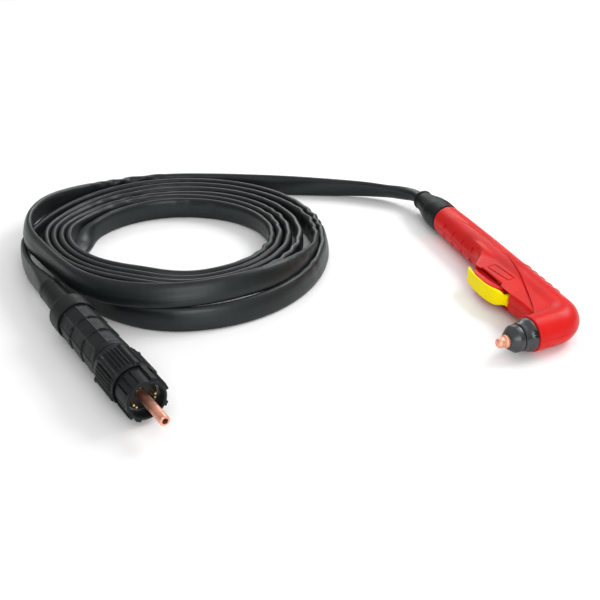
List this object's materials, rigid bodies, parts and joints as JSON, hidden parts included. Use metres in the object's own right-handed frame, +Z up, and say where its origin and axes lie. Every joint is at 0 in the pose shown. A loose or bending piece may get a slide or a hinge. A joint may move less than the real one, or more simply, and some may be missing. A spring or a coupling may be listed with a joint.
{
  "type": "hand plasma cutting torch",
  "caption": "Hand-held cutting torch with an angled head, trigger with flip-up safety lever, coiled flat hose and a round central connector.",
  "frame": {"origin": "middle of the torch's footprint, on the surface it lies on, measured without the hose and connector", "axes": "+X along the handle from the hose end to the head, +Y away from the trigger, +Z up; the nozzle points to -Y"},
  "size_m": [0.5112, 0.4817, 0.049],
  "materials": {
    "red_plastic": "satin moulded plastic with a fine grain",
    "yellow_plastic": "satin moulded plastic",
    "dark_plastic": "satin moulded plastic",
    "carrier_plastic": "matte moulded plastic",
    "cap_grey": "heat-resistant moulding, matte",
    "swirl_ring": "glass-filled moulding",
    "black_rubber": "soft matte",
    "hose_sheath": "soft sheen, creased",
    "inner_hose": "smooth",
    "wire_red": "smooth insulation",
    "wire_white": "smooth insulation",
    "wire_blue": "smooth insulation",
    "copper": "bare turned copper",
    "brass": "turned",
    "steel": "plain zinc-plated steel"
  },
  "bodies": {
    "torch": {"handle_shell_upper": "red_plastic", "handle_shell_lower": "red_plastic", "handle_screws": "steel", "cable_boot": "black_rubber", "power_gas_hose_core": "inner_hose", "hose_clamp": "steel", "pipe_union": "brass", "gas_power_pipe": "copper", "pilot_arc_wire": "wire_blue", "switch_wire_red": "wire_red", "switch_wire_white": "wire_white", "microswitch_body": "dark_plastic", "trigger_spring": "steel", "lever_pivot_pin": "steel", "head_insulator": "dark_plastic", "head_brass_collar": "brass", "cathode_body": "brass", "electrode": "copper", "hafnium_insert": "steel", "swirl_ring": "swirl_ring", "head_o_ring": "black_rubber", "connector_rear_sleeve": "black_rubber", "connector_rear_collar": "dark_plastic", "connector_grip": "dark_plastic", "connector_barrel": "dark_plastic", "pin_carrier": "carrier_plastic", "contact_pins": "brass", "circlip": "steel", "central_gas_tube": "copper", "cable_crimp_socket": "brass", "connector_hose_core": "inner_hose", "hose_tube_torch_side": "hose_sheath", "hose_tube_connector_side": "hose_sheath", "hose_coil": "hose_sheath"},
    "safety_lever": {"safety_lever": "yellow_plastic"},
    "trigger": {"trigger_button": "red_plastic"},
    "plunger": {"microswitch_plunger": "yellow_plastic"},
    "nozzle": {"cutting_nozzle": "copper"},
    "cap": {"retaining_cap": "cap_grey", "cap_thread_insert": "brass", "shield_cap": "cap_grey"},
    "lock_nut": {"connector_lock_nut": "dark_plastic"}
  },
  "joints": [
    {"name": "safety_lever_swing", "type": "hinge", "parent": "torch", "child": "safety_lever", "pos_m": [0.0867, 0.0075, 0.0174], "axis": [0, 0, 1], "range_deg": [0, 35], "stiffness_Nm_per_rad": 0.02, "springref_deg": -11.46},
    {"name": "trigger_press", "type": "slide", "parent": "torch", "child": "trigger", "axis": [0, 1, 0], "range_m": [0, 0.003], "stiffness_N_per_m": 800, "springref_m": -0.001, "deforming": ["trigger_spring"]},
    {"name": "plunger_press", "type": "slide", "parent": "torch", "child": "plunger", "axis": [0, 1, 0], "range_m": [0, 0.003]},
    {"name": "cap_advance", "type": "slide", "parent": "torch", "child": "nozzle", "axis": [0.1478, -0.989, 0], "range_m": [0, 0.0045]},
    {"name": "cap_unscrew", "type": "hinge", "parent": "nozzle", "child": "cap", "pos_m": [0.14734, -0.01291, 0.0174], "axis": [0.1478, -0.989, 0], "range_deg": [0, 1080]},
    {"name": "lock_nut_spin", "type": "hinge", "parent": "torch", "child": "lock_nut", "pos_m": [0.09787, -0.37246, 0.0227], "axis": [0.9755, 0.2198, 0], "continuous": true}
  ],
  "couplings": [
    {"joint": "plunger_press", "follows": "trigger_press", "ratio": 1},
    {"joint": "cap_advance", "follows": "cap_unscrew", "m_per_rad": 0.00023873}
  ]
}
